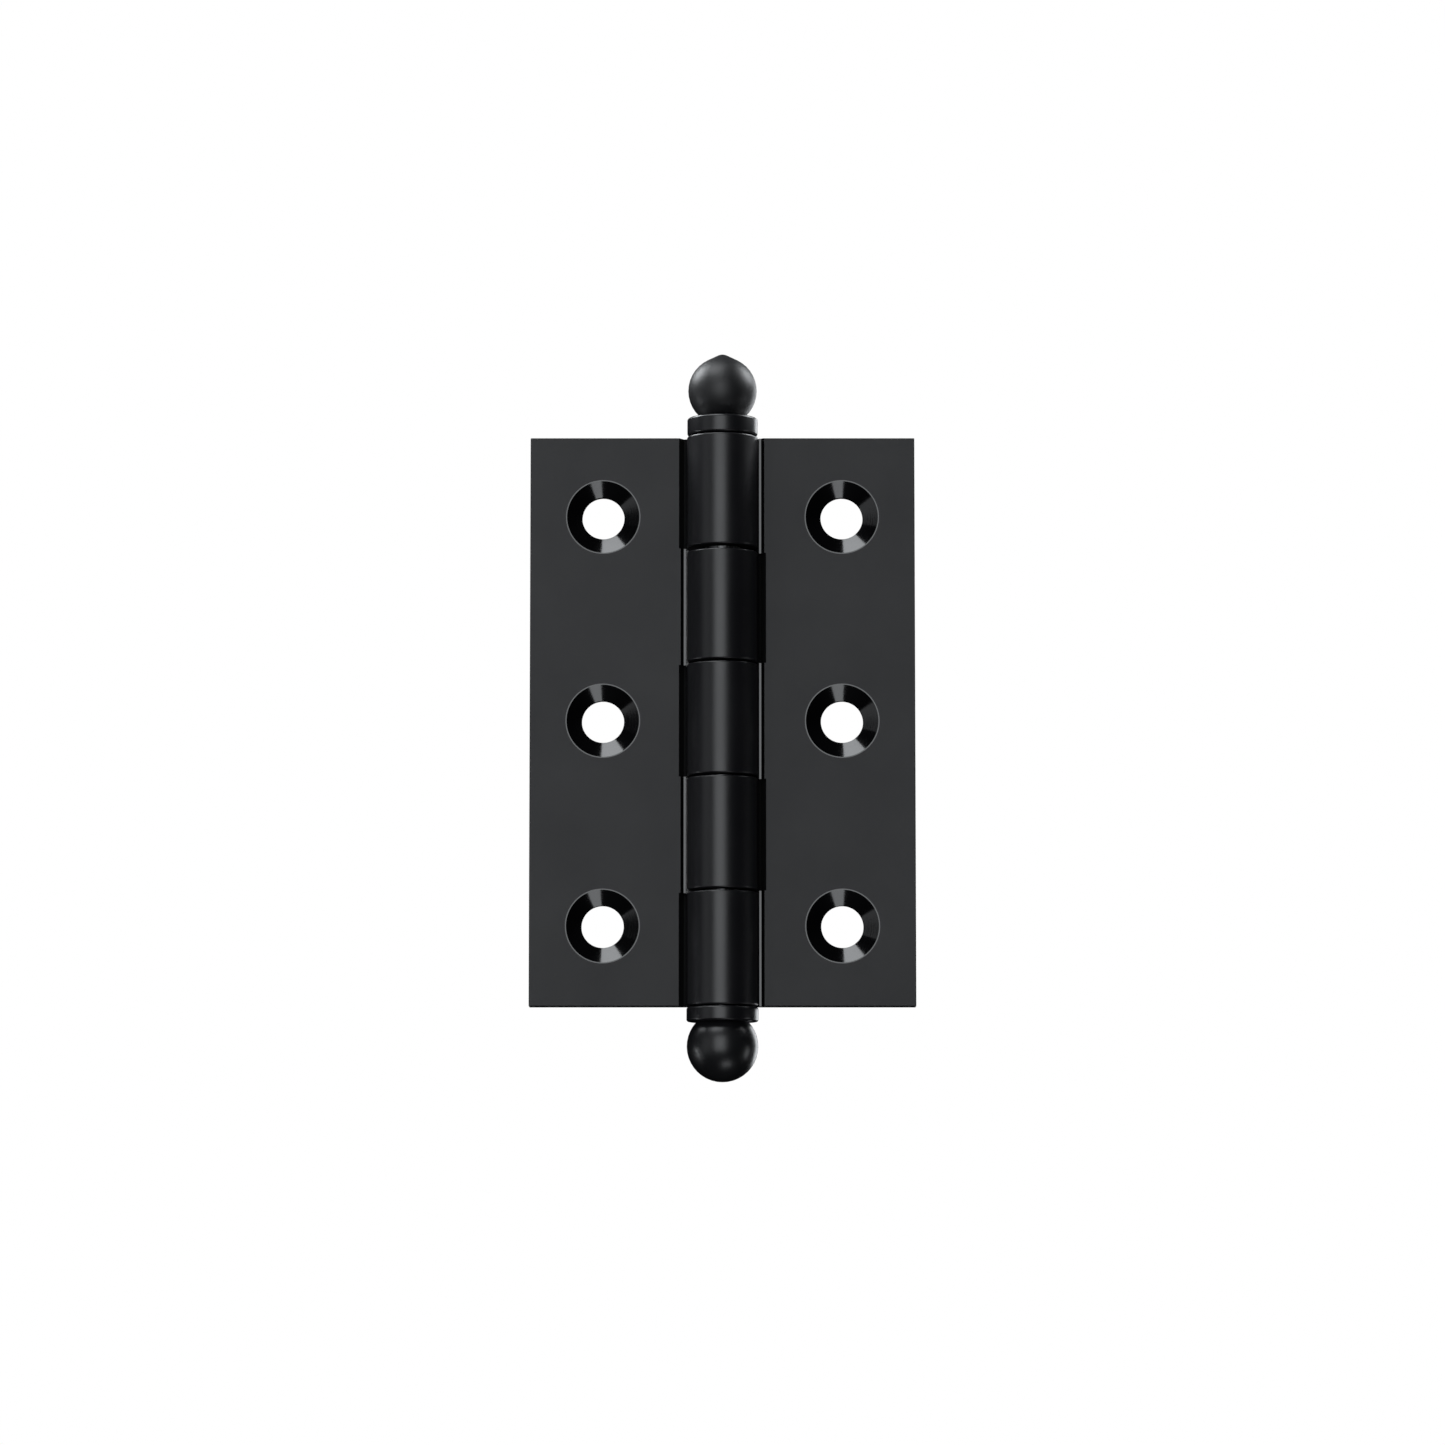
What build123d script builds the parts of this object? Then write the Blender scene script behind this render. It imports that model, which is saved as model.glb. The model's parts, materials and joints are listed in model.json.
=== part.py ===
from build123d import *
import math
import os

# Five-knuckle cabinet butt hinge with ball tips, lying open flat.
# The pin axis is Z and the origin is on it, half way up the leaves.
# The countersunk faces look along -Y, the left leaf is on -X, the right leaf on +X.
# Lengths are in millimetres.

# Leaves
LEAF_HEIGHT = 63.5
OPEN_WIDTH = 42.86
LEAF_THICKNESS = 2.3
FACE_SET_BACK = 0.5          # front faces lie this far behind the pin axis
FRONT_CHAMFER = 0.3
BACK_CHAMFER = 0.15
SLOT_CHAMFER = 0.5           # on the front edge beside the other leaf's knuckles

# Barrel
BARREL_RADIUS = 3.95
SLOT_CLEARANCE = 0.32        # radial gap between a knuckle and the other leaf
KNUCKLES = 5
FIRST_JOINT = 0.5            # gap between the first two knuckles from the top
OTHER_JOINTS = 0.25
KNUCKLE_CHAMFER = 0.15
BACK_FILLET = 1.3            # where a knuckle runs into the back of its leaf
GROOVE_WIDTH = 0.9           # relief groove beside a leaf's own knuckles
GROOVE_DEPTH = 1.0
GROOVE_FILLET = 0.49         # where its floor runs up into the barrel

# Screw holes, for a No. 8 countersunk wood screw
HOLES_PER_LEAF = 3
HOLE_RADIUS = 2.35
COUNTERSINK_RADIUS = 4.15
COUNTERSINK_ANGLE = 110
HOLE_PITCH = 22.86
HOLE_TO_AXIS = 13.3

# Pin, with a threaded spigot at each end
PIN_RADIUS = 1.95
PIN_CLEARANCE = 0.05         # running fit in the knuckles
TOP_COLLAR_GAP = 0.15        # between the end knuckles and the finials
BOTTOM_COLLAR_GAP = 0.15
THREAD_RADIUS = 1.5
THREAD_DEPTH = 0.3
THREAD_PITCH = 0.5
THREAD_TURNS = 9
THREAD_CLEARANCE = 0.03

# Finials
TOP_COLLAR_RADIUS = 3.92
TOP_COLLAR_HEIGHT = 1.95
TOP_COLLAR_ROUND = 0.28
TOP_BALL_RADIUS = 3.82
TOP_BALL_CENTRE = 5.22       # above the top of the leaves
TIP_SLOPE = 26.6             # degrees from level, where the ball runs up to its soft point
TIP_ROUND = 1.2
BOTTOM_COLLAR_RADIUS = 3.98
BOTTOM_COLLAR_HEIGHT = 1.6
BOTTOM_BALL_RADIUS = 3.95
BOTTOM_BALL_CENTRE = 4.47    # below the bottom of the leaves
COLLAR_CHAMFER = 0.15

HALF_HEIGHT = LEAF_HEIGHT / 2
LEAF_REACH = OPEN_WIDTH / 2
FACE_Y = FACE_SET_BACK
BACK_Y = FACE_SET_BACK + LEAF_THICKNESS
BORE_RADIUS = PIN_RADIUS + PIN_CLEARANCE
SLOT_RADIUS = BARREL_RADIUS + SLOT_CLEARANCE
PIN_TOP = HALF_HEIGHT + TOP_COLLAR_GAP
PIN_BOTTOM = -HALF_HEIGHT - BOTTOM_COLLAR_GAP
SPIGOT_LENGTH = THREAD_TURNS * THREAD_PITCH


def knuckle_spans():
    """Bottom and top of each knuckle, from the top of the barrel down."""
    pitch = LEAF_HEIGHT / KNUCKLES
    joints = [HALF_HEIGHT - pitch * n for n in range(1, KNUCKLES)]
    gaps = [FIRST_JOINT] + [OTHER_JOINTS] * (KNUCKLES - 2)
    tops = [HALF_HEIGHT] + [z - gap / 2 for z, gap in zip(joints, gaps)]
    bottoms = [z + gap / 2 for z, gap in zip(joints, gaps)] + [-HALF_HEIGHT]
    return list(zip(bottoms, tops))


def slots_between(own):
    """The stretches of a leaf's height that its own knuckles leave free."""
    levels = [HALF_HEIGHT] + [z for bottom, top in own for z in (top, bottom)] + [-HALF_HEIGHT]
    return [(low, high) for high, low in zip(levels[0::2], levels[1::2]) if high > low]


def on_circle(radius, y):
    """The x at which a circle about the axis reaches the height y."""
    return math.sqrt(radius**2 - y**2)


def polar(radius, from_axis, centre_z):
    """A point on a circle centred on the axis, at an angle from straight up."""
    return (radius * math.sin(from_axis), centre_z + radius * math.cos(from_axis))


def thread_outline(shoulder_z, up, clearance):
    """The flanks of a spigot's thread, from its shoulder outwards; up is 1 or -1."""
    points = []
    for turn in range(THREAD_TURNS):
        root_z = shoulder_z + up * turn * THREAD_PITCH
        crest_z = root_z + up * THREAD_PITCH / 2
        points.append((THREAD_RADIUS - THREAD_DEPTH + clearance, root_z))
        points.append((THREAD_RADIUS + clearance, crest_z))
    points.append((THREAD_RADIUS - THREAD_DEPTH + clearance, shoulder_z + up * SPIGOT_LENGTH))
    return points


def tapped_hole(mouth_z, up):
    """Half the section of the blind hole that a spigot screws into."""
    end_z = mouth_z + up * SPIGOT_LENGTH
    tip_radius = THREAD_RADIUS - THREAD_DEPTH + THREAD_CLEARANCE
    outline = thread_outline(mouth_z, up, THREAD_CLEARANCE)
    outline.append((0, end_z + up * tip_radius))
    Polygon((0, mouth_z), *outline, align=None)


def make_leaf(side, own):
    """One leaf with its knuckles; side is -1 for the left leaf and 1 for the right."""
    slot_x = on_circle(SLOT_RADIUS, FACE_Y)
    chamfer_side = SLOT_CHAMFER * math.sqrt(2)
    floor_y = FACE_Y + GROOVE_DEPTH
    wall_x = on_circle(BARREL_RADIUS, floor_y - GROOVE_FILLET)
    floor_x = wall_x + GROOVE_FILLET
    groove_x = BARREL_RADIUS + GROOVE_WIDTH
    fillet_y = BACK_Y + BACK_FILLET
    fillet_x = on_circle(BARREL_RADIUS + BACK_FILLET, fillet_y)
    touch = BARREL_RADIUS / (BARREL_RADIUS + BACK_FILLET)

    with BuildPart() as leaf:
        # The plate, from the pin axis outwards, with its outer edges broken.
        with Locations((side * LEAF_REACH / 2, (FACE_Y + BACK_Y) / 2, 0)):
            Box(LEAF_REACH, LEAF_THICKNESS, LEAF_HEIGHT)
        for which, size in ((0, FRONT_CHAMFER), (-1, BACK_CHAMFER)):
            flat = leaf.faces().filter_by(Axis.Y).sort_by(Axis.Y)[which]
            edges = flat.edges().sort_by(lambda edge: side * edge.center().X)
            chamfer(edges[1:], size)

        # Beside the other leaf's knuckles it is cut round, to let them turn.
        for bottom, top in slots_between(own):
            with BuildSketch(Plane.XY.offset(bottom)):
                Circle(SLOT_RADIUS)
                with Locations((side * slot_x, FACE_Y)):
                    Rectangle(chamfer_side, chamfer_side, rotation=45)
            extrude(amount=top - bottom, mode=Mode.SUBTRACT)

        # At its own knuckles: a relief groove in front, a fillet behind and the barrel.
        for bottom, top in own:
            with BuildSketch(Plane.XY.offset(bottom)):
                with BuildLine():
                    Polyline(
                        (side * wall_x, floor_y - GROOVE_FILLET),
                        (0, floor_y - GROOVE_FILLET),
                        (0, FACE_Y),
                        (side * groove_x, FACE_Y),
                        (side * floor_x, floor_y),
                    )
                    RadiusArc(
                        (side * floor_x, floor_y),
                        (side * wall_x, floor_y - GROOVE_FILLET),
                        side * GROOVE_FILLET,
                    )
                make_face()
            extrude(amount=top - bottom, mode=Mode.SUBTRACT)
            with BuildSketch(Plane.XY.offset(bottom)):
                with BuildLine():
                    Polyline(
                        (side * touch * fillet_x, touch * fillet_y),
                        (0, touch * fillet_y),
                        (0, BACK_Y - BACK_CHAMFER),
                        (side * fillet_x, BACK_Y - BACK_CHAMFER),
                        (side * fillet_x, BACK_Y),
                    )
                    RadiusArc(
                        (side * fillet_x, BACK_Y),
                        (side * touch * fillet_x, touch * fillet_y),
                        side * BACK_FILLET,
                    )
                make_face()
            extrude(amount=top - bottom)
            with BuildSketch(Plane.XZ) as barrel:
                with Locations((BARREL_RADIUS / 2, (bottom + top) / 2)):
                    Rectangle(BARREL_RADIUS, top - bottom)
                chamfer(barrel.vertices().group_by(Axis.X)[-1], KNUCKLE_CHAMFER)
            revolve(axis=Axis.Z)
        Cylinder(BORE_RADIUS, LEAF_HEIGHT, mode=Mode.SUBTRACT)

        front = Plane((side * HOLE_TO_AXIS, FACE_Y, 0), x_dir=(1, 0, 0), z_dir=(0, -1, 0))
        with Locations(front):
            with GridLocations(HOLE_PITCH, HOLE_PITCH, 1, HOLES_PER_LEAF):
                CounterSinkHole(HOLE_RADIUS, COUNTERSINK_RADIUS, counter_sink_angle=COUNTERSINK_ANGLE)
    return leaf


spans = knuckle_spans()
left_leaf = make_leaf(-1, spans[0::2])
right_leaf = make_leaf(1, spans[1::2])

# The pin: a plain shaft with a spigot at each end, whose thread is drawn as rings.
with BuildPart() as hinge_pin:
    with BuildSketch(Plane.XZ):
        with BuildLine():
            Polyline(
                (0, PIN_BOTTOM - SPIGOT_LENGTH),
                *thread_outline(PIN_BOTTOM, -1, 0)[::-1],
                (PIN_RADIUS, PIN_BOTTOM),
                (PIN_RADIUS, PIN_TOP),
                *thread_outline(PIN_TOP, 1, 0),
                (0, PIN_TOP + SPIGOT_LENGTH),
                close=True,
            )
        make_face()
    revolve(axis=Axis.Z)

# The top finial: a collar, and a ball drawn up to a soft point, tapped from below.
with BuildPart() as top_finial:
    ball_z = HALF_HEIGHT + TOP_BALL_CENTRE
    collar_top = PIN_TOP + TOP_COLLAR_HEIGHT
    slope = math.radians(TIP_SLOPE)
    cone_start = polar(TOP_BALL_RADIUS, slope, ball_z)
    cone_apex_z = ball_z + TOP_BALL_RADIUS / math.cos(slope)
    tip_centre_z = cone_apex_z - TIP_ROUND / math.cos(slope)
    cone_end = polar(TIP_ROUND, slope, tip_centre_z)
    neck_radius = on_circle(TOP_BALL_RADIUS, ball_z - collar_top)
    with BuildSketch(Plane.XZ):
        with BuildLine():
            Polyline(
                (0, PIN_TOP),
                (TOP_COLLAR_RADIUS - COLLAR_CHAMFER, PIN_TOP),
                (TOP_COLLAR_RADIUS, PIN_TOP + COLLAR_CHAMFER),
                (TOP_COLLAR_RADIUS, collar_top - TOP_COLLAR_ROUND),
            )
            RadiusArc(
                (TOP_COLLAR_RADIUS, collar_top - TOP_COLLAR_ROUND),
                (TOP_COLLAR_RADIUS - TOP_COLLAR_ROUND, collar_top),
                -TOP_COLLAR_ROUND,
            )
            Line((TOP_COLLAR_RADIUS - TOP_COLLAR_ROUND, collar_top), (neck_radius, collar_top))
            ThreePointArc((neck_radius, collar_top), (TOP_BALL_RADIUS, ball_z), cone_start)
            Line(cone_start, cone_end)
            ThreePointArc(
                cone_end,
                polar(TIP_ROUND, slope / 2, tip_centre_z),
                (0, tip_centre_z + TIP_ROUND),
            )
            Line((0, tip_centre_z + TIP_ROUND), (0, PIN_TOP))
        make_face()
    revolve(axis=Axis.Z)
    with BuildSketch(Plane.XZ):
        tapped_hole(PIN_TOP, 1)
    revolve(axis=Axis.Z, mode=Mode.SUBTRACT)

# The bottom finial: a collar and a plain ball, tapped from above.
with BuildPart() as bottom_finial:
    ball_z = -HALF_HEIGHT - BOTTOM_BALL_CENTRE
    collar_end = PIN_BOTTOM - BOTTOM_COLLAR_HEIGHT
    neck_radius = on_circle(BOTTOM_BALL_RADIUS, collar_end - ball_z)
    with BuildSketch(Plane.XZ):
        with BuildLine():
            Polyline(
                (0, PIN_BOTTOM),
                (BOTTOM_COLLAR_RADIUS - COLLAR_CHAMFER, PIN_BOTTOM),
                (BOTTOM_COLLAR_RADIUS, PIN_BOTTOM - COLLAR_CHAMFER),
                (BOTTOM_COLLAR_RADIUS, collar_end + COLLAR_CHAMFER),
                (BOTTOM_COLLAR_RADIUS - COLLAR_CHAMFER, collar_end),
                (neck_radius, collar_end),
            )
            ThreePointArc(
                (neck_radius, collar_end),
                (BOTTOM_BALL_RADIUS, ball_z),
                (0, ball_z - BOTTOM_BALL_RADIUS),
            )
            Line((0, ball_z - BOTTOM_BALL_RADIUS), (0, PIN_BOTTOM))
        make_face()
    revolve(axis=Axis.Z)
    with BuildSketch(Plane.XZ):
        tapped_hole(PIN_BOTTOM, -1)
    revolve(axis=Axis.Z, mode=Mode.SUBTRACT)


os.makedirs("parts", exist_ok=True)
for name, piece in {
    "left_leaf": left_leaf,
    "right_leaf": right_leaf,
    "hinge_pin": hinge_pin,
    "top_finial": top_finial,
    "bottom_finial": bottom_finial,
}.items():
    piece.part.label = name
    export_step(piece.part, f"parts/{name}.step")
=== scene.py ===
import json
import math

import bpy
from bpy.props import FloatProperty, FloatVectorProperty, PointerProperty
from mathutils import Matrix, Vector


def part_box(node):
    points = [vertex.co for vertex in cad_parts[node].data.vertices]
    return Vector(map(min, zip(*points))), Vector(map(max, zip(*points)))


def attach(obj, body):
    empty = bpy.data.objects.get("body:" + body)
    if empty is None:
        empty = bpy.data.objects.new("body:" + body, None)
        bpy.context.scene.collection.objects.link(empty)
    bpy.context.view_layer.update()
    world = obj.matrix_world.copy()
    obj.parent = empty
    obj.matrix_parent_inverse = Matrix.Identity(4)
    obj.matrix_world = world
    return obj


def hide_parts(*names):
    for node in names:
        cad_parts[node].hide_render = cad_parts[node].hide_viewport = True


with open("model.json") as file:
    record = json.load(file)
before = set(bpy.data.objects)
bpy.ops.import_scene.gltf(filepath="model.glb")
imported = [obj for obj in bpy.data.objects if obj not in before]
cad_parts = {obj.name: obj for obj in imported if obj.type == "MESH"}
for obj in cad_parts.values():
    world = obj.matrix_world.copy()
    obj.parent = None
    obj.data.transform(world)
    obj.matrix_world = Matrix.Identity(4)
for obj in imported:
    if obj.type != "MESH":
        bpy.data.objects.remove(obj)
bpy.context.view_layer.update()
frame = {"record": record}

bl_info = {
    "name": "Ball-Tip Butt Hinge",
    "version": (1, 0, 0),
    "blender": (4, 5, 0),
    "location": "3D View > Sidebar > Hinge",
    "description": "Models a five-knuckle cabinet butt hinge with ball finials, in satin black",
    "category": "Object",
}

MM = 0.001
MERGE = 0.001 * MM
TURN_STEPS = 144             # facets round a turned piece
CURVE_STEPS = 40             # points round a whole circle in a drawn outline
OVERRUN = 1.0 * MM           # how far a cutter runs past what it cuts
SMOOTH_ANGLE = math.radians(35)
ALONG = 0.9                  # an edge runs along an axis if at least this much of it does
ACROSS = 0.1                 # and across the axis if no more than this much does
FLAT = 0.999                 # a face looks along an axis if this much of its normal does

MOUNTS = {mount["name"]: mount for mount in frame["record"]["mounts"]}
SCREW_HOLES = MOUNTS["right_upper_screw_holes"]
HOLES_PER_LEAF = 3
HOLE_X = SCREW_HOLES["pos_m"][0]
HOLE_RADIUS = SCREW_HOLES["dims"]["hole_r_mm"] * MM
HOLE_PITCH = SCREW_HOLES["dims"]["spacing_y_mm"] * MM
HOLE_HEIGHTS = [HOLE_PITCH * (row - (HOLES_PER_LEAF - 1) / 2) for row in range(HOLES_PER_LEAF)]
LEAF_REACH, BARREL_RADIUS, HALF_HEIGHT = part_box("right_leaf")[1]
LEAF_THICKNESS = 2.3 * MM
BACK_Y = MOUNTS["right_back_face"]["pos_m"][1]
FACE_Y = BACK_Y - LEAF_THICKNESS
KNUCKLES = 5
PIN_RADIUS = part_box("hinge_pin")[1].y
PIN_SPIGOT_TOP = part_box("hinge_pin")[1].z
PIN_SPIGOT_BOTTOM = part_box("hinge_pin")[0].z
TOP_COLLAR_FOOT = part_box("top_finial")[0].z
TOP_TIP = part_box("top_finial")[1].z
BOTTOM_COLLAR_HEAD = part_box("bottom_finial")[1].z
THREAD_GAP = 0.03 * MM       # radial clearance of a spigot in its finial
STUDIO_LIGHT = (0.94, 0.97, 1.0)


def linear(hex_colour):
    """An sRGB hex colour as linear red, green and blue."""
    channels = [int(hex_colour[i:i + 2], 16) / 255 for i in (1, 3, 5)]
    return tuple(c / 12.92 if c <= 0.04045 else ((c + 0.055) / 1.055) ** 2.4 for c in channels)


def length(name, description, default_mm):
    """A size that a user can change, in metres."""
    return FloatProperty(
        name=name, description=description, default=default_mm * MM, min=0.0,
        precision=5, unit="LENGTH", subtype="DISTANCE",
    )


def angle(name, description, default_degrees):
    """An angle that a user can change, in radians."""
    return FloatProperty(
        name=name, description=description, default=math.radians(default_degrees), subtype="ANGLE",
    )


def colour(name, description, hex_colour):
    """A colour that a user can change."""
    return FloatVectorProperty(
        name=name, description=description, default=linear(hex_colour),
        min=0.0, max=1.0, size=3, subtype="COLOR",
    )


class HingeLeafSizes(bpy.types.PropertyGroup):
    """Sizes of the two leaves and their knuckles"""

    front_round: length("Front Edge", "Rounding of the leaf's front edges", 0.3)
    back_round: length("Back Edge", "Rounding of the leaf's back edges", 0.15)
    corner_round: length("Corner", "Rounding of the leaf's upright corners", 0.08)
    slot_gap: length("Slot Gap", "Clearance between a knuckle and the other leaf", 0.22)
    ledge_width: length("Ledge Width", "Width of the burnished ledge beside the other knuckles", 0.14)
    ledge_depth: length("Ledge Depth", "Depth of that ledge below the leaf's face", 0.35)
    wide_joint: length("First Joint", "Gap between the first two knuckles", 0.5)
    joint: length("Joint", "Gap between the other knuckles", 0.25)
    knuckle_round: length("Knuckle Rim", "Rounding of each knuckle's rims", 0.2)
    groove_width: length("Groove Width", "Width of the relief groove beside a knuckle", 0.9)
    groove_depth: length("Groove Depth", "Depth of the relief groove", 1.0)
    groove_fillet: length("Groove Fillet", "Radius from the groove's floor to the barrel", 0.49)
    back_fillet: length("Back Fillet", "Radius from the barrel to the leaf's back", 1.3)
    sink_radius: length("Countersink Radius", "Radius of the countersink at the face", 4.15)
    sink_angle: angle("Countersink Angle", "Angle across the countersink", 110)
    sink_land: length("Countersink Land", "Width of the burnished ring round the countersink", 0.12)


class HingeFinialSizes(bpy.types.PropertyGroup):
    """Sizes of the pin and its two ball finials"""

    spigot_radius: length("Spigot Radius", "Radius over the pin's threads", 1.5)
    spigot_pitch: length("Thread Pitch", "Pitch of the spigot's thread", 0.5)
    spigot_depth: length("Thread Depth", "Depth of the spigot's thread", 0.3)
    bore_gap: length("Bore Gap", "Radial clearance of the pin in the knuckles", 0.05)
    collar_edge: length("Collar Edge", "Rounding of the collars' edges", 0.25)
    top_collar_height: length("Top Collar Height", "Height of the top collar", 1.95)
    top_collar_round: length("Top Collar Shoulder", "Rounding of the top collar's shoulder", 0.28)
    top_ball_radius: length("Top Ball Radius", "Radius of the top ball", 3.82)
    top_ball_rise: length("Top Ball Rise", "Height of its centre above the leaves", 5.22)
    tip_slope: angle("Tip Slope", "Slope of the run up to the top ball's point", 26.6)
    tip_round: length("Tip Radius", "Radius of the top ball's soft point", 1.2)
    bottom_collar_height: length("Bottom Collar Height", "Height of the bottom collar", 1.6)
    bottom_ball_radius: length("Bottom Ball Radius", "Radius of the bottom ball", 3.95)
    bottom_ball_drop: length("Bottom Ball Drop", "Depth of its centre below the leaves", 4.47)


class HingeFinishes(bpy.types.PropertyGroup):
    """Colours of the finishes and of the studio"""

    coat: colour("Coat", "Satin black coat of the leaves", "#0c0c0f")
    sink: colour("Countersink", "Black of the turned countersinks", "#060607")
    finial: colour("Finial", "Smooth black coat of the finials", "#0f0f11")
    steel: colour("Pin Steel", "Drawn steel of the pin", "#8f9092")
    oil: colour("Oil Film", "Old oil in the pin's drawing lines", "#4a4540")
    floor: colour("Floor", "Pale studio floor", "#e9e9e8")


class HingeStudioSizes(bpy.types.PropertyGroup):
    """Where the floor lies and how the camera stands"""

    floor_width: length("Floor Width", "Side of the square floor", 20000)
    floor_drop: length("Floor Drop", "Height of the hinge's middle above the floor", 900)
    camera_distance: length("Camera Distance", "From the camera to the hinge's middle", 650)
    camera_tilt: angle("Camera Tilt", "How far the camera looks up at the hinge", 6.3)
    view_width: length("View Width", "Width seen at the hinge", 160.4)
    view_drop: length("View Drop", "How far below the hinge's middle the camera looks", 0.26)


# ---------------------------------------------------------------- shaping by hand


def start_clean(piece=None):
    """Leaves edit mode and deselects all, the CAD nodes included; then picks up one piece."""
    if bpy.context.mode != "OBJECT":
        bpy.ops.object.mode_set(mode="OBJECT")
    bpy.ops.object.select_all(action="DESELECT")
    if piece:
        piece.select_set(True)
        bpy.context.view_layer.objects.active = piece


def arc(centre, radius, start, end):
    """Points on an arc in an outline's own plane, angles in degrees from its first axis."""
    steps = max(3, round(abs(end - start) / 360 * CURVE_STEPS))
    angles = [math.radians(start + (end - start) * n / steps) for n in range(steps + 1)]
    return [(centre[0] + radius * math.cos(a), centre[1] + radius * math.sin(a)) for a in angles]


def draw_outline(name, points):
    """One vertex, extruded from point to point; it is left in edit mode."""
    start_clean()
    bpy.ops.mesh.primitive_plane_add(size=MM, location=points[0])
    piece = bpy.context.object
    piece.name = name
    bpy.ops.object.transform_apply(location=True, rotation=False, scale=False)
    bpy.ops.object.mode_set(mode="EDIT")
    bpy.ops.mesh.select_all(action="SELECT")
    bpy.ops.mesh.merge(type="CENTER")
    for here, there in zip(points, points[1:]):
        step = Vector(there) - Vector(here)
        bpy.ops.mesh.extrude_vertices_move(TRANSFORM_OT_translate={"value": step})
    bpy.ops.mesh.select_all(action="SELECT")
    return piece


def close_up(piece):
    """Merges doubles, points all faces outwards and leaves edit mode."""
    bpy.ops.mesh.select_all(action="SELECT")
    bpy.ops.mesh.remove_doubles(threshold=MERGE)
    bpy.ops.mesh.normals_make_consistent(inside=False)
    bpy.ops.object.mode_set(mode="OBJECT")
    return piece


def turn(name, outline):
    """Turns an outline of (radius, height) about the pin's axis."""
    piece = draw_outline(name, [(radius, 0, height) for radius, height in outline])
    bpy.ops.mesh.spin(steps=TURN_STEPS, angle=math.tau, center=(0, 0, 0), axis=(0, 0, 1))
    return close_up(piece)


def through_rod(name, radius):
    """A plain rod on the pin's axis that runs past both ends of the leaves."""
    end = HALF_HEIGHT + OVERRUN
    return turn(name, [(0, -end), (radius, -end), (radius, end), (0, end)])


def pull_up(name, outline, bottom, top):
    """Fills a closed outline of (x, y) at one height and extrudes it to another."""
    piece = draw_outline(name, [(x, y, bottom) for x, y in outline + outline[:1]])
    bpy.ops.mesh.remove_doubles(threshold=MERGE)
    bpy.ops.mesh.edge_face_add()
    bpy.ops.mesh.extrude_region_move(TRANSFORM_OT_translate={"value": (0, 0, top - bottom)})
    return close_up(piece)


def round_edges(piece, chosen, width, segments=3):
    """Bevels the edges for which chosen(middle, direction) holds."""
    start_clean(piece)
    bpy.ops.object.mode_set(mode="EDIT")
    bpy.ops.mesh.select_mode(type="EDGE")
    bpy.ops.mesh.select_all(action="DESELECT")
    bpy.ops.object.mode_set(mode="OBJECT")
    picked = 0
    for edge in piece.data.edges:
        a, b = (piece.data.vertices[v].co for v in edge.vertices)
        edge.select = chosen((a + b) / 2, (b - a).normalized())
        picked += edge.select
    if not picked:
        raise RuntimeError(f"no edge of {piece.name} is there to round")
    bpy.ops.object.mode_set(mode="EDIT")
    bpy.ops.mesh.bevel(offset=width, segments=segments, affect="EDGES", clamp_overlap=True)
    bpy.ops.mesh.select_mode(type="VERT")
    bpy.ops.object.mode_set(mode="OBJECT")


def score(piece, planes):
    """Cuts new edges round a piece where each plane (point, normal) meets it; its shape stays."""
    start_clean(piece)
    bpy.ops.object.mode_set(mode="EDIT")
    for point, normal in planes:
        bpy.ops.mesh.select_all(action="SELECT")
        bpy.ops.mesh.bisect(plane_co=point, plane_no=normal)
    bpy.ops.object.mode_set(mode="OBJECT")


def combine(piece, tool, operation):
    """Cuts a tool piece from a piece or joins it on; the cut faces keep the tool's finish."""
    start_clean(piece)
    bpy.ops.object.modifier_add(type="BOOLEAN")
    boolean = piece.modifiers[-1]
    boolean.object = tool
    boolean.operation = operation
    boolean.solver = "MANIFOLD"
    boolean.material_mode = "TRANSFER"
    bpy.ops.object.modifier_apply(modifier=boolean.name)
    bpy.data.objects.remove(tool, do_unlink=True)
    if not piece.data.polygons:
        raise RuntimeError(f"nothing is left of {piece.name}")


def finish(piece, body, slot, *nodes):
    """Shades a piece smooth across its rounded edges and puts it on its body."""
    start_clean(piece)
    bpy.ops.object.shade_smooth_by_angle(angle=SMOOTH_ANGLE)
    bpy.ops.object.modifier_add(type="WEIGHTED_NORMAL")
    piece.modifiers[-1].keep_sharp = True
    bpy.ops.object.modifier_apply(modifier=piece.modifiers[-1].name)
    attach(piece, body)
    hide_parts(*nodes)
    start_clean()


# ---------------------------------------------------------------- finishes


def add_node(tree, kind, settings=(), links=()):
    """Adds a node, sets its properties and inputs, and links sockets into it."""
    node = tree.nodes.new(kind)
    for key, value in dict(settings).items():
        if isinstance(key, str) and hasattr(node, key):
            setattr(node, key, value)
        else:
            node.inputs[key].default_value = value
    for key, socket in dict(links).items():
        tree.links.new(socket, node.inputs[key])
    return node


def new_material(name):
    """A new material and its node tree, emptied."""
    material = bpy.data.materials.new(name)
    material.use_nodes = True
    material.node_tree.nodes.clear()
    return material, material.node_tree


def rgba(rgb, factor=1.0):
    """A colour with its strength changed and full alpha."""
    return tuple(c * factor for c in rgb) + (1.0,)


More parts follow.
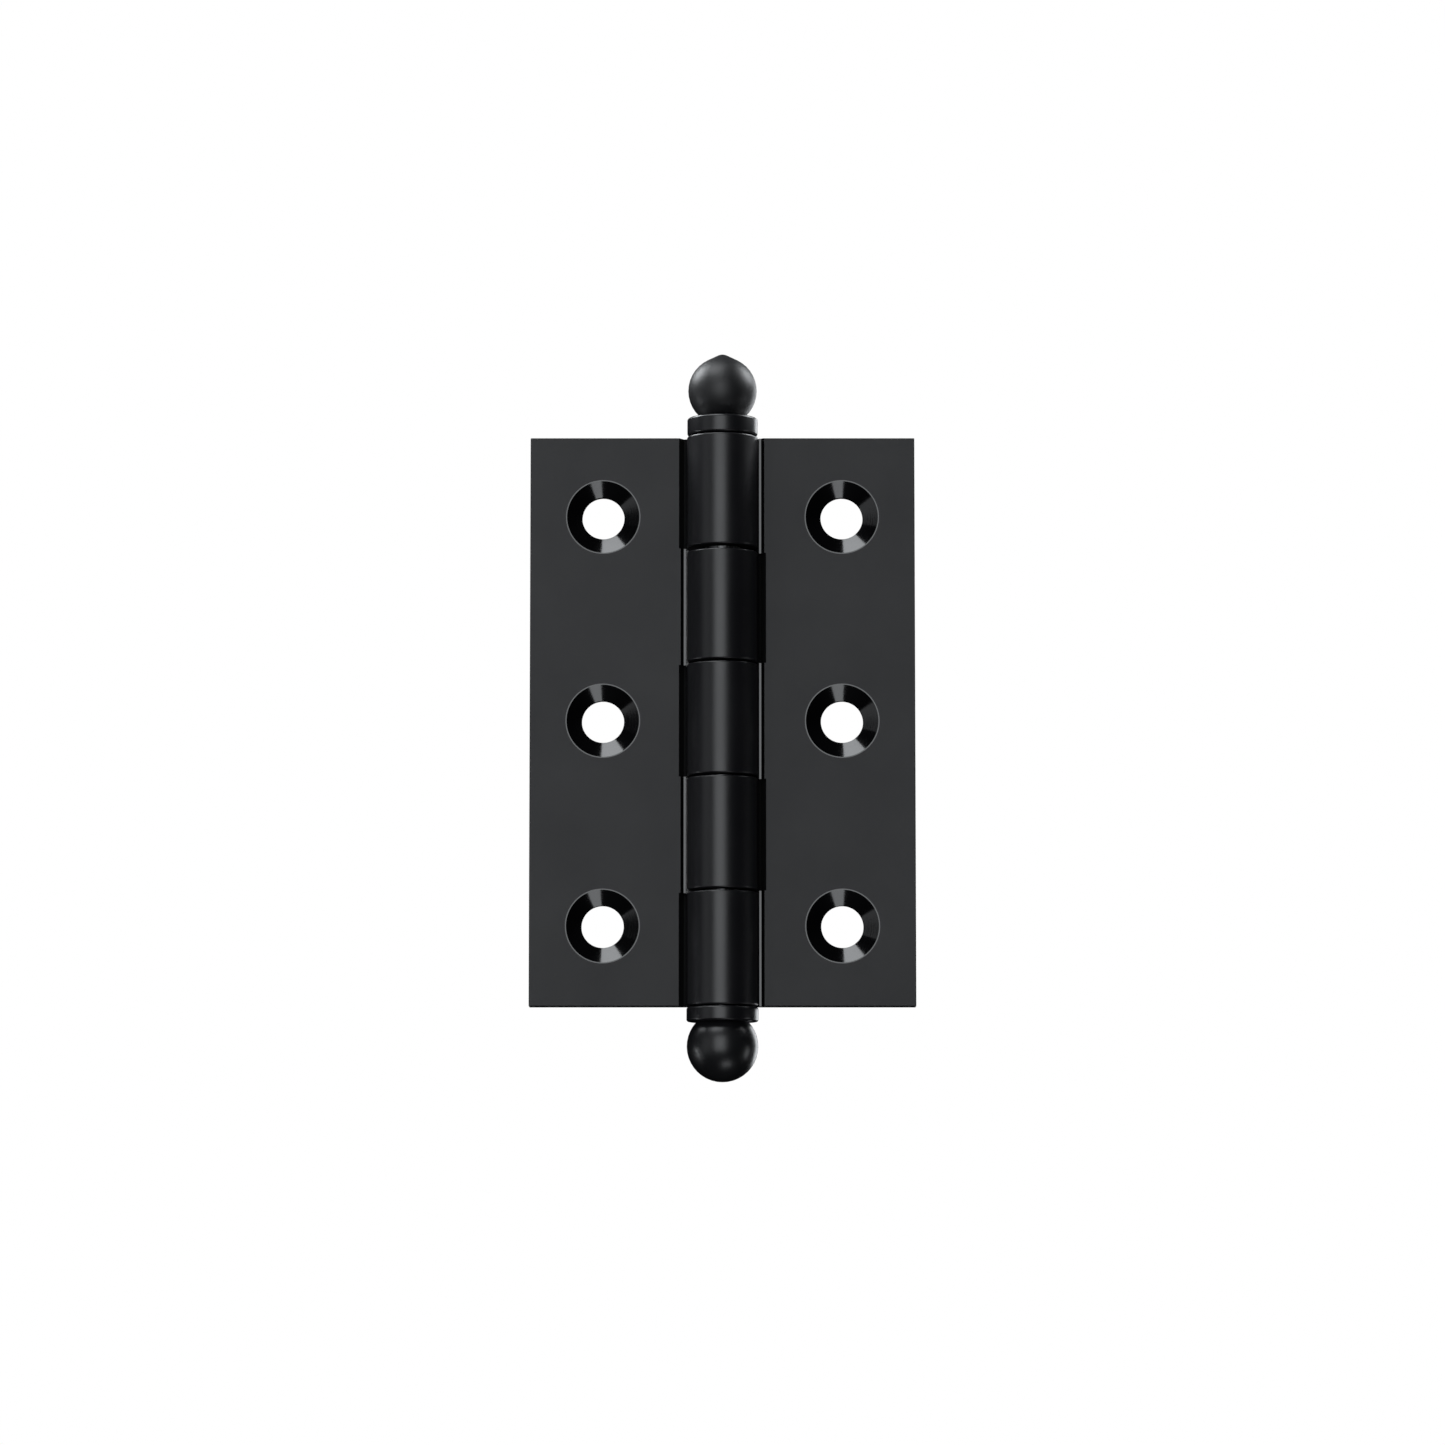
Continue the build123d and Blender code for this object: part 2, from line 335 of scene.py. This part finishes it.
def coated_brass(name, base, roughness, grain_mm, grain_depth_mm):
    """Sprayed and baked satin black over brass: fine orange peel, and faint cloudiness in its gloss."""
    cloud_size = 9 * MM
    material, tree = new_material(name)
    place = add_node(tree, "ShaderNodeTexCoord").outputs["Object"]
    cloud = add_node(tree, "ShaderNodeTexNoise",
                     {"Scale": 1 / cloud_size, "Detail": 3.0, "Roughness": 0.6}, {"Vector": place})
    peel = add_node(tree, "ShaderNodeTexNoise",
                    {"Scale": 1 / (grain_mm * MM), "Detail": 2.0, "Roughness": 0.5}, {"Vector": place})
    tone = add_node(tree, "ShaderNodeValToRGB", links={"Fac": cloud.outputs["Fac"]})
    tone.color_ramp.elements[0].position = 0.35
    tone.color_ramp.elements[0].color = rgba(base, 0.94)
    tone.color_ramp.elements[1].position = 0.65
    tone.color_ramp.elements[1].color = rgba(base, 1.06)
    spread = 0.02
    gloss = add_node(tree, "ShaderNodeMapRange",
                     {"From Min": 0.3, "From Max": 0.7,
                      "To Min": roughness - spread, "To Max": roughness + spread},
                     {"Value": cloud.outputs["Fac"]})
    bump = add_node(tree, "ShaderNodeBump", {"Strength": 0.6, "Distance": grain_depth_mm * MM},
                    {"Height": peel.outputs["Fac"]})
    shader = add_node(tree, "ShaderNodeBsdfPrincipled", {"Metallic": 0.0, "IOR": 1.5},
                      {"Base Color": tone.outputs["Color"], "Roughness": gloss.outputs["Result"],
                       "Normal": bump.outputs["Normal"]})
    add_node(tree, "ShaderNodeOutputMaterial", links={"Surface": shader.outputs["BSDF"]})
    return material


def turned_countersink(name, base):
    """Countersinks cut after coating and blackened: a hard gloss, with the cutter's fine rings."""
    ring_width = 0.12 * MM
    material, tree = new_material(name)
    place = add_node(tree, "ShaderNodeTexCoord").outputs["Object"]
    split = add_node(tree, "ShaderNodeSeparateXYZ", links={"Vector": place})
    from_axis = add_node(tree, "ShaderNodeMath", {"operation": "ABSOLUTE"}, {0: split.outputs["X"]})
    across = add_node(tree, "ShaderNodeMath", {"operation": "SUBTRACT", 1: HOLE_X},
                      {0: from_axis.outputs["Value"]})
    along = add_node(tree, "ShaderNodeMath", {"operation": "WRAP", 1: HOLE_PITCH / 2, 2: -HOLE_PITCH / 2},
                     {0: split.outputs["Z"]})
    from_hole = add_node(tree, "ShaderNodeCombineXYZ",
                         links={"X": across.outputs["Value"], "Z": along.outputs["Value"]})
    radius = add_node(tree, "ShaderNodeVectorMath", {"operation": "LENGTH"},
                      {0: from_hole.outputs["Vector"]})
    ring = add_node(tree, "ShaderNodeMath", {"operation": "MULTIPLY", 1: 1 / ring_width},
                    {0: radius.outputs["Value"]})
    rings = add_node(tree, "ShaderNodeTexNoise",
                     {"noise_dimensions": "1D", "Scale": 1.0, "Detail": 2.0}, {"W": ring.outputs["Value"]})
    bump = add_node(tree, "ShaderNodeBump", {"Strength": 0.5, "Distance": 0.004 * MM},
                    {"Height": rings.outputs["Fac"]})
    tone = add_node(tree, "ShaderNodeValToRGB", links={"Fac": rings.outputs["Fac"]})
    tone.color_ramp.elements[0].color = rgba(base, 0.8)
    tone.color_ramp.elements[1].color = rgba(base, 1.3)
    gloss = add_node(tree, "ShaderNodeMapRange", {"To Min": 0.09, "To Max": 0.15},
                     {"Value": rings.outputs["Fac"]})
    shader = add_node(tree, "ShaderNodeBsdfPrincipled", {"Metallic": 0.0, "IOR": 1.6},
                      {"Base Color": tone.outputs["Color"], "Roughness": gloss.outputs["Result"],
                       "Normal": bump.outputs["Normal"]})
    add_node(tree, "ShaderNodeOutputMaterial", links={"Surface": shader.outputs["BSDF"]})
    return material


def sawn_ends(name, base):
    """Saw-cut ends of the knuckles: matt black, scratched across, with little gloss left."""
    scratch_width = 0.1 * MM
    material, tree = new_material(name)
    place = add_node(tree, "ShaderNodeTexCoord").outputs["Object"]
    stretched = add_node(tree, "ShaderNodeMapping", {"Scale": (0.05, 1.0, 1.0)}, {"Vector": place})
    lines = add_node(tree, "ShaderNodeTexNoise", {"Scale": 1 / scratch_width, "Detail": 2.0},
                     {"Vector": stretched.outputs["Vector"]})
    tone = add_node(tree, "ShaderNodeValToRGB", links={"Fac": lines.outputs["Fac"]})
    tone.color_ramp.elements[0].color = rgba(base, 0.6)
    tone.color_ramp.elements[1].color = rgba(base, 1.2)
    bump = add_node(tree, "ShaderNodeBump", {"Strength": 0.6, "Distance": 0.01 * MM},
                    {"Height": lines.outputs["Fac"]})
    shader = add_node(tree, "ShaderNodeBsdfPrincipled",
                      {"Roughness": 0.85, "IOR": 1.5, "Specular IOR Level": 0.15},
                      {"Base Color": tone.outputs["Color"], "Normal": bump.outputs["Normal"]})
    add_node(tree, "ShaderNodeOutputMaterial", links={"Surface": shader.outputs["BSDF"]})
    return material


def drawn_steel(name, base, oil):
    """Drawn bar: lengthwise lines, with old oil darkening some of them."""
    line_width = 0.25 * MM
    material, tree = new_material(name)
    place = add_node(tree, "ShaderNodeTexCoord").outputs["Object"]
    stretched = add_node(tree, "ShaderNodeMapping", {"Scale": (1.0, 1.0, 0.02)}, {"Vector": place})
    lines = add_node(tree, "ShaderNodeTexNoise", {"Scale": 1 / line_width, "Detail": 3.0},
                     {"Vector": stretched.outputs["Vector"]})
    tone = add_node(tree, "ShaderNodeValToRGB", links={"Fac": lines.outputs["Fac"]})
    tone.color_ramp.elements[0].position = 0.3
    tone.color_ramp.elements[0].color = rgba(oil)
    tone.color_ramp.elements[1].position = 0.6
    tone.color_ramp.elements[1].color = rgba(base)
    gloss = add_node(tree, "ShaderNodeMapRange", {"To Min": 0.28, "To Max": 0.42},
                     {"Value": lines.outputs["Fac"]})
    bump = add_node(tree, "ShaderNodeBump", {"Strength": 0.5, "Distance": 0.005 * MM},
                    {"Height": lines.outputs["Fac"]})
    shader = add_node(tree, "ShaderNodeBsdfPrincipled", {"Metallic": 1.0},
                      {"Base Color": tone.outputs["Color"], "Roughness": gloss.outputs["Result"],
                       "Normal": bump.outputs["Normal"]})
    add_node(tree, "ShaderNodeOutputMaterial", links={"Surface": shader.outputs["BSDF"]})
    return material


# ---------------------------------------------------------------- the leaves


def knuckle_spans(sizes):
    """Bottom and top of each knuckle, from the top of the barrel down."""
    pitch = 2 * HALF_HEIGHT / KNUCKLES
    joints = [HALF_HEIGHT - pitch * n for n in range(1, KNUCKLES)]
    gaps = [sizes.wide_joint] + [sizes.joint] * (KNUCKLES - 2)
    tops = [HALF_HEIGHT] + [z - gap / 2 for z, gap in zip(joints, gaps)]
    bottoms = [z + gap / 2 for z, gap in zip(joints, gaps)] + [-HALF_HEIGHT]
    return list(zip(bottoms, tops))


def model_plate(name, side, sizes, coat, burnish):
    """The flat of a leaf: a block with rounded edges, cut round beside the barrel."""
    start_clean()
    bpy.ops.mesh.primitive_cube_add(
        size=1, location=(side * LEAF_REACH / 2, (FACE_Y + BACK_Y) / 2, 0),
        scale=(LEAF_REACH, BACK_Y - FACE_Y, 2 * HALF_HEIGHT),
    )
    plate = bpy.context.object
    plate.name = name
    plate.data.materials.append(coat)
    bpy.ops.object.transform_apply(location=True, rotation=True, scale=True)

    def outer(middle):
        return abs(middle.x) > MERGE

    round_edges(plate, lambda m, d: outer(m) and abs(d.y) > ALONG, sizes.corner_round, 2)
    round_edges(plate, lambda m, d: outer(m) and m.y < FACE_Y + MERGE and abs(d.y) < ACROSS,
                sizes.front_round)
    round_edges(plate, lambda m, d: outer(m) and m.y > BACK_Y - MERGE and abs(d.y) < ACROSS,
                sizes.back_round)

    slot_radius = BARREL_RADIUS + sizes.slot_gap
    combine(plate, through_rod("slot", slot_radius), "DIFFERENCE")
    ledge_x = slot_radius + sizes.ledge_width
    ledge_y = FACE_Y + sizes.ledge_depth
    mouth_y = FACE_Y - OVERRUN
    outline = [(ledge_x, ledge_y), (ledge_x + ledge_y - mouth_y, mouth_y),
               (BARREL_RADIUS / 2, mouth_y), (BARREL_RADIUS / 2, ledge_y)]
    rebate = pull_up("rebate", [(side * x, y) for x, y in outline],
                     -HALF_HEIGHT - OVERRUN, HALF_HEIGHT + OVERRUN)
    rebate.data.materials.append(burnish)
    combine(plate, rebate, "DIFFERENCE")
    # divided through the middles of the screw holes, so that no face has a whole hole in it
    score(plate, [((side * HOLE_X, 0, 0), (1, 0, 0))] + [((0, 0, z), (0, 0, 1)) for z in HOLE_HEIGHTS])
    return plate


def groove_floor(sizes):
    """Where the relief groove's floor starts, beside the barrel's wall."""
    floor_y = FACE_Y + sizes.groove_depth
    wall_x = math.sqrt(BARREL_RADIUS ** 2 - (floor_y - sizes.groove_fillet) ** 2)
    return wall_x, wall_x + sizes.groove_fillet, floor_y


def groove_outline(side, sizes):
    """The relief groove beside a leaf's own knuckles."""
    wall_x, floor_x, floor_y = groove_floor(sizes)
    rim_x = BARREL_RADIUS + sizes.groove_width
    slope = Vector((rim_x - floor_x, FACE_Y - floor_y)).normalized() * OVERRUN
    points = [(floor_x, floor_y), (rim_x, FACE_Y), (rim_x + slope.x, FACE_Y + slope.y),
              (wall_x - OVERRUN, FACE_Y + slope.y), (wall_x - OVERRUN, floor_y)]
    return [(side * x, y) for x, y in points]


def neck_outline(side, sizes):
    """The metal that joins a knuckle to its leaf, with a small fillet in front and a large one behind."""
    floor_x, floor_y = groove_floor(sizes)[1:]
    fillet_y = BACK_Y + sizes.back_fillet
    fillet_x = math.sqrt((BARREL_RADIUS + sizes.back_fillet) ** 2 - fillet_y ** 2)
    turn_end = math.degrees(math.atan2(-fillet_y, -fillet_x))
    front = arc((floor_x, floor_y - sizes.groove_fillet), sizes.groove_fillet, 180, 90)
    back = arc((fillet_x, fillet_y), sizes.back_fillet, -90, turn_end)
    in_plate = 0.4 * MM          # how far the neck runs into the plate
    under_floor = 0.3 * MM       # and below the groove's floor
    in_barrel = [(back[-1][0] * 0.8, back[-1][1] * 0.8), (0.7 * BARREL_RADIUS, floor_y - sizes.groove_fillet)]
    points = (front + [(floor_x + in_plate, floor_y + under_floor), (floor_x + in_plate, BACK_Y - in_plate)]
              + back + in_barrel)
    return [(side * x, y) for x, y in points]


def model_knuckle(side, bottom, top, sizes, coat, ends):
    """One knuckle: a turned barrel with rounded rims and sawn ends, and its milled neck."""
    rim = sizes.knuckle_round
    barrel = turn("knuckle", [(0, bottom)] + arc((BARREL_RADIUS - rim, bottom + rim), rim, -90, 0)
                  + arc((BARREL_RADIUS - rim, top - rim), rim, 0, 90) + [(0, top)])
    barrel.data.materials.append(coat)
    barrel.data.materials.append(ends)
    for face in barrel.data.polygons:
        face.material_index = int(abs(face.normal.z) > FLAT)
    neck = pull_up("neck", neck_outline(side, sizes), bottom, top)
    neck.data.materials.append(ends)
    combine(barrel, neck, "UNION")
    return barrel


def model_screw_holes(leaf, side, sizes, sink):
    """Countersinks and cuts the row of screw holes."""
    cone_radius = sizes.sink_radius - sizes.sink_land
    back_lip = sizes.back_round
    land_depth = 0.01 * MM
    cone_end = -land_depth - (cone_radius - HOLE_RADIUS) / math.tan(sizes.sink_angle / 2)
    back_face = -LEAF_THICKNESS
    mouth = [(sizes.sink_radius, OVERRUN), (sizes.sink_radius, -land_depth), (cone_radius, -land_depth)]
    throat = [(HOLE_RADIUS, cone_end), (HOLE_RADIUS, back_face + back_lip)]
    back = arc((HOLE_RADIUS + back_lip, back_face + back_lip), back_lip, 180, 270)
    outline = ([(0, OVERRUN)] + mouth + throat + back[1:]
               + [(HOLE_RADIUS + back_lip, back_face - OVERRUN), (0, back_face - OVERRUN)])
    cutter = turn("countersink", outline)
    cutter.data.materials.append(sink)
    start_clean(cutter)
    bpy.ops.object.mode_set(mode="EDIT")
    bpy.ops.mesh.select_all(action="SELECT")
    half_facet = math.pi / TURN_STEPS    # keeps the cutter's corners off the plate's scored edges
    bpy.ops.transform.rotate(value=half_facet, orient_axis="Z", center_override=(0, 0, 0))
    bpy.ops.transform.rotate(value=-math.pi / 2, orient_axis="X", center_override=(0, 0, 0))
    bpy.ops.transform.translate(value=(HOLE_X * side, FACE_Y, HOLE_HEIGHTS[0]))
    for _ in HOLE_HEIGHTS[1:]:
        bpy.ops.mesh.duplicate_move(TRANSFORM_OT_translate={"value": (0, 0, HOLE_PITCH)})
    bpy.ops.object.mode_set(mode="OBJECT")
    combine(leaf, cutter, "DIFFERENCE")


def model_leaf(name, side, own, sizes, coat, knuckle_coat, ends, sink):
    """A whole leaf: plate, grooves, knuckles, bore and screw holes."""
    leaf = model_plate(name, side, sizes, coat, sink)
    for bottom, top in own:
        groove = pull_up("groove", groove_outline(side, sizes), bottom, top)
        groove.data.materials.append(ends)
        combine(leaf, groove, "DIFFERENCE")
    for bottom, top in own:
        combine(leaf, model_knuckle(side, bottom, top, sizes, knuckle_coat, ends), "UNION")
    bore_radius = PIN_RADIUS + bpy.context.scene.hinge_finials.bore_gap
    combine(leaf, through_rod("bore", bore_radius), "DIFFERENCE")
    model_screw_holes(leaf, side, sizes, sink)
    return leaf


class HINGE_OT_leaves(bpy.types.Operator):
    """Models both leaves with their knuckles, bores and countersunk holes"""

    bl_idname = "hinge.leaves"
    bl_label = "Model Leaves"

    def execute(self, context):
        sizes = context.scene.hinge_leaves
        finishes = context.scene.hinge_finishes
        coat = coated_brass("satin black baked coat on milled brass", finishes.coat,
                            roughness=0.56, grain_mm=0.16, grain_depth_mm=0.006)
        knuckle_coat = coated_brass("satin black baked coat on turned brass", finishes.coat,
                                    roughness=0.34, grain_mm=0.16, grain_depth_mm=0.004)
        ends = sawn_ends("sawn and blackened knuckle ends", finishes.sink)
        sink = turned_countersink("blackened turned countersink", finishes.sink)
        spans = knuckle_spans(sizes)
        for name, side, own in (("left", -1, spans[0::2]), ("right", 1, spans[1::2])):
            leaf = model_leaf(f"{name}_leaf_coated", side, own, sizes, coat, knuckle_coat, ends, sink)
            finish(leaf, f"{name}_leaf", f"leaf_{name}", f"{name}_leaf")
        return {"FINISHED"}


# ---------------------------------------------------------------- pin and finials


def thread(sizes, shoulder, end):
    """The flanks of a spigot's thread, from its shoulder to its end."""
    up = 1 if end > shoulder else -1
    turns = round(abs(end - shoulder) / sizes.spigot_pitch)
    root = sizes.spigot_radius - sizes.spigot_depth
    points = []
    for n in range(turns):
        points.append((root, shoulder + up * n * sizes.spigot_pitch))
        points.append((sizes.spigot_radius, shoulder + up * (n + 0.5) * sizes.spigot_pitch))
    return points + [(root, end), (0, end)]


class HINGE_OT_pin(bpy.types.Operator):
    """Models the steel pin with its threaded spigots"""

    bl_idname = "hinge.pin"
    bl_label = "Model Pin"

    def execute(self, context):
        sizes = context.scene.hinge_finials
        finishes = context.scene.hinge_finishes
        outline = (thread(sizes, BOTTOM_COLLAR_HEAD, PIN_SPIGOT_BOTTOM)[::-1]
                   + [(PIN_RADIUS, BOTTOM_COLLAR_HEAD), (PIN_RADIUS, TOP_COLLAR_FOOT)]
                   + thread(sizes, TOP_COLLAR_FOOT, PIN_SPIGOT_TOP))
        pin = turn("pin_drawn_steel", outline)
        pin.data.materials.append(drawn_steel("oiled drawn steel", finishes.steel, finishes.oil))
        finish(pin, "pin_set", "pin_steel", "hinge_pin")
        return {"FINISHED"}


def tapped_hole(sizes, mouth, end):
    """The inside of a finial, from its mouth up to the drill's point."""
    up = 1 if end > mouth else -1
    wall = [(radius + THREAD_GAP, height) for radius, height in thread(sizes, mouth, end)[:-1]]
    return [(0, end + up * wall[-1][0])] + wall[::-1]


def coat_by_height(finial, ball_coat, collar_coat, bottom, top):
    """Gives a finial's ball one coat, and its collar, between two heights, another."""
    finial.data.materials.append(ball_coat)
    finial.data.materials.append(collar_coat)
    for face in finial.data.polygons:
        face.material_index = int(bottom - MERGE < face.center.z < top + MERGE)


class HINGE_OT_finials(bpy.types.Operator):
    """Turns the two ball finials with their collars"""

    bl_idname = "hinge.finials"
    bl_label = "Turn Finials"

    def execute(self, context):
        sizes = context.scene.hinge_finials
        finishes = context.scene.hinge_finishes
        collar_coat = coated_brass("satin black baked coat on turned collars", finishes.coat,
                                   roughness=0.32, grain_mm=0.16, grain_depth_mm=0.004)
        top_coat = coated_brass("soft satin black coat on the turned top ball", finishes.finial,
                                roughness=0.48, grain_mm=0.3, grain_depth_mm=0.003)
        bottom_coat = coated_brass("satin black coat on the turned bottom ball", finishes.finial,
                                   roughness=0.34, grain_mm=0.3, grain_depth_mm=0.003)
        edge = sizes.collar_edge

        slope = math.degrees(sizes.tip_slope)
        ball_z = HALF_HEIGHT + sizes.top_ball_rise
        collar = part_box("top_finial")[1].y
        shoulder = sizes.top_collar_round
        collar_top = TOP_COLLAR_FOOT + sizes.top_collar_height
        neck = math.degrees(math.asin((collar_top - ball_z) / sizes.top_ball_radius))
        tip_z = TOP_TIP - sizes.tip_round
        outline = (
            tapped_hole(sizes, TOP_COLLAR_FOOT, PIN_SPIGOT_TOP)
            + arc((collar - edge, TOP_COLLAR_FOOT + edge), edge, -90, 0)
            + arc((collar - shoulder, collar_top - shoulder), shoulder, 0, 90)
            + arc((0, ball_z), sizes.top_ball_radius, neck, 90 - slope)
            + arc((0, tip_z), sizes.tip_round, 90 - slope, 90)
        )
        top = turn("top_finial_coated", outline)
        coat_by_height(top, top_coat, collar_coat, TOP_COLLAR_FOOT, collar_top)
        finish(top, "pin_set", "finial_top", "top_finial")

        ball_z = -HALF_HEIGHT - sizes.bottom_ball_drop
        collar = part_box("bottom_finial")[1].y
        collar_end = BOTTOM_COLLAR_HEAD - sizes.bottom_collar_height
        neck = math.degrees(math.asin((collar_end - ball_z) / sizes.bottom_ball_radius))
        outline = (
            tapped_hole(sizes, BOTTOM_COLLAR_HEAD, PIN_SPIGOT_BOTTOM)
            + arc((collar - edge, BOTTOM_COLLAR_HEAD - edge), edge, 90, 0)
            + arc((collar - edge, collar_end + edge), edge, 0, -90)
            + arc((0, ball_z), sizes.bottom_ball_radius, neck, -90)
        )
        bottom = turn("bottom_finial_coated", outline)
        coat_by_height(bottom, bottom_coat, collar_coat, collar_end, BOTTOM_COLLAR_HEAD)
        finish(bottom, "pin_set", "finial_bottom", "bottom_finial")
        return {"FINISHED"}


# ---------------------------------------------------------------- the studio


def aim(thing, target):
    """Turns a light or the camera to look at a point."""
    thing.rotation_euler = (Vector(target) - thing.location).to_track_quat("-Z", "Y").to_euler()


def softbox(name, location, width, height, watts, target=(0, 0, 0)):
    """A rectangular light, turned to face a point."""
    data = bpy.data.lights.new(name, "AREA")
    data.shape = "RECTANGLE"
    data.size = width
    data.size_y = height
    data.energy = watts
    data.color = STUDIO_LIGHT
    light = bpy.data.objects.new(name, data)
    light.location = location
    bpy.context.scene.collection.objects.link(light)
    aim(light, target)


class HINGE_OT_studio(bpy.types.Operator):
    """Sets up the floor, the lights and the camera"""

    bl_idname = "hinge.studio"
    bl_label = "Set Up Studio"

    def execute(self, context):
        scene = context.scene
        sizes = scene.hinge_studio
        start_clean()
        bpy.ops.mesh.primitive_plane_add(size=sizes.floor_width, location=(0, 0, -sizes.floor_drop))
        floor = context.object
        floor.name = "studio_floor"
        # pale where the camera sees it, and black to the hinge, whose finish would mirror it
        material, tree = new_material("pale studio floor")
        seen = add_node(tree, "ShaderNodeLightPath").outputs["Is Camera Ray"]
        tone = add_node(tree, "ShaderNodeMix", {"data_type": "RGBA", 6: rgba(scene.hinge_finishes.coat),
                                                7: rgba(scene.hinge_finishes.floor)}, {0: seen})
        shader = add_node(tree, "ShaderNodeBsdfPrincipled",
                          {"Roughness": 0.8, "Emission Color": rgba(scene.hinge_finishes.floor)},
                          {"Base Color": tone.outputs[2], "Emission Strength": seen})
        add_node(tree, "ShaderNodeOutputMaterial", links={"Surface": shader.outputs["BSDF"]})
        floor.data.materials.append(material)

        # white round the floor, again for the camera only
        world = bpy.data.worlds.new("studio")
        scene.world = world
        world.use_nodes = True
        tree = world.node_tree
        tree.nodes.clear()
        seen = add_node(tree, "ShaderNodeLightPath").outputs["Is Camera Ray"]
        background = add_node(tree, "ShaderNodeBackground", {"Color": (1, 1, 1, 1)}, {"Strength": seen})
        add_node(tree, "ShaderNodeOutputWorld", links={"Surface": background.outputs["Background"]})

        # place, width, height, watts, and the point faced if it isn't the hinge's middle
        softbox("front_softbox", (-0.15, -1.0, 0.1), 0.64, 0.9, 5.0)
        softbox("left_softbox", (-0.82, -0.58, 0.0), 0.5, 0.9, 0.8)
        softbox("left_strip", (-0.95, 0.05, -0.32), 0.06, 0.4, 1.2)
        softbox("right_strip", (0.95, 0.0, -0.30), 0.12, 0.4, 0.7)
        softbox("overhead_softbox", (-0.24, -0.28, 0.75), 0.48, 0.65, 5.0, (-0.24, -0.28, 0))
        softbox("back_left_softbox", (-0.60, 0.26, 0.56), 0.4, 0.4, 8.0)
        softbox("back_right_softbox", (0.62, 0.28, 0.50), 0.4, 0.4, 6.0)
        softbox("back_fill", (0.5, 0.75, 0.05), 0.4, 0.6, 3.0)
        softbox("low_fill", (0.085, -0.21, -0.42), 0.17, 0.16, 0.22, (0.085, -0.21, 0))

        camera = bpy.data.objects.new("camera", bpy.data.cameras.new("camera"))
        scene.collection.objects.link(camera)
        centre = Vector((0, 0, -sizes.view_drop))
        away = Vector((0, -math.cos(sizes.camera_tilt), -math.sin(sizes.camera_tilt)))
        camera.location = centre + sizes.camera_distance * away
        camera.data.lens = camera.data.sensor_width * sizes.camera_distance / sizes.view_width
        aim(camera, centre)
        scene.camera = camera
        scene.view_settings.view_transform = "Standard"
        return {"FINISHED"}


class HINGE_PT_panel(bpy.types.Panel):
    """Lists the hinge's sizes, finishes and steps"""

    bl_idname = "HINGE_PT_panel"
    bl_label = "Ball-Tip Butt Hinge"
    bl_space_type = "VIEW_3D"
    bl_region_type = "UI"
    bl_category = "Hinge"

    def draw(self, context):
        for key, group in GROUPS.items():
            box = self.layout.box()
            for name in group.__annotations__:
                box.prop(getattr(context.scene, key), name)
        for operator in OPERATORS:
            self.layout.operator(operator.bl_idname)


GROUPS = {
    "hinge_leaves": HingeLeafSizes,
    "hinge_finials": HingeFinialSizes,
    "hinge_finishes": HingeFinishes,
    "hinge_studio": HingeStudioSizes,
}
OPERATORS = (HINGE_OT_leaves, HINGE_OT_pin, HINGE_OT_finials, HINGE_OT_studio)


def register():
    """Adds the sizes, steps and panel to the program"""
    for name, group in GROUPS.items():
        bpy.utils.register_class(group)
        setattr(bpy.types.Scene, name, PointerProperty(type=group))
    for operator in OPERATORS:
        bpy.utils.register_class(operator)
    bpy.utils.register_class(HINGE_PT_panel)


def unregister():
    """Takes them out again, last first"""
    bpy.utils.unregister_class(HINGE_PT_panel)
    for operator in reversed(OPERATORS):
        bpy.utils.unregister_class(operator)
    for name, group in reversed(GROUPS.items()):
        delattr(bpy.types.Scene, name)
        bpy.utils.unregister_class(group)


def main():
    """Models the whole hinge and its studio"""
    register()
    bpy.ops.hinge.leaves()
    bpy.ops.hinge.pin()
    bpy.ops.hinge.finials()
    bpy.ops.hinge.studio()


if __name__ == "__main__":
    main()
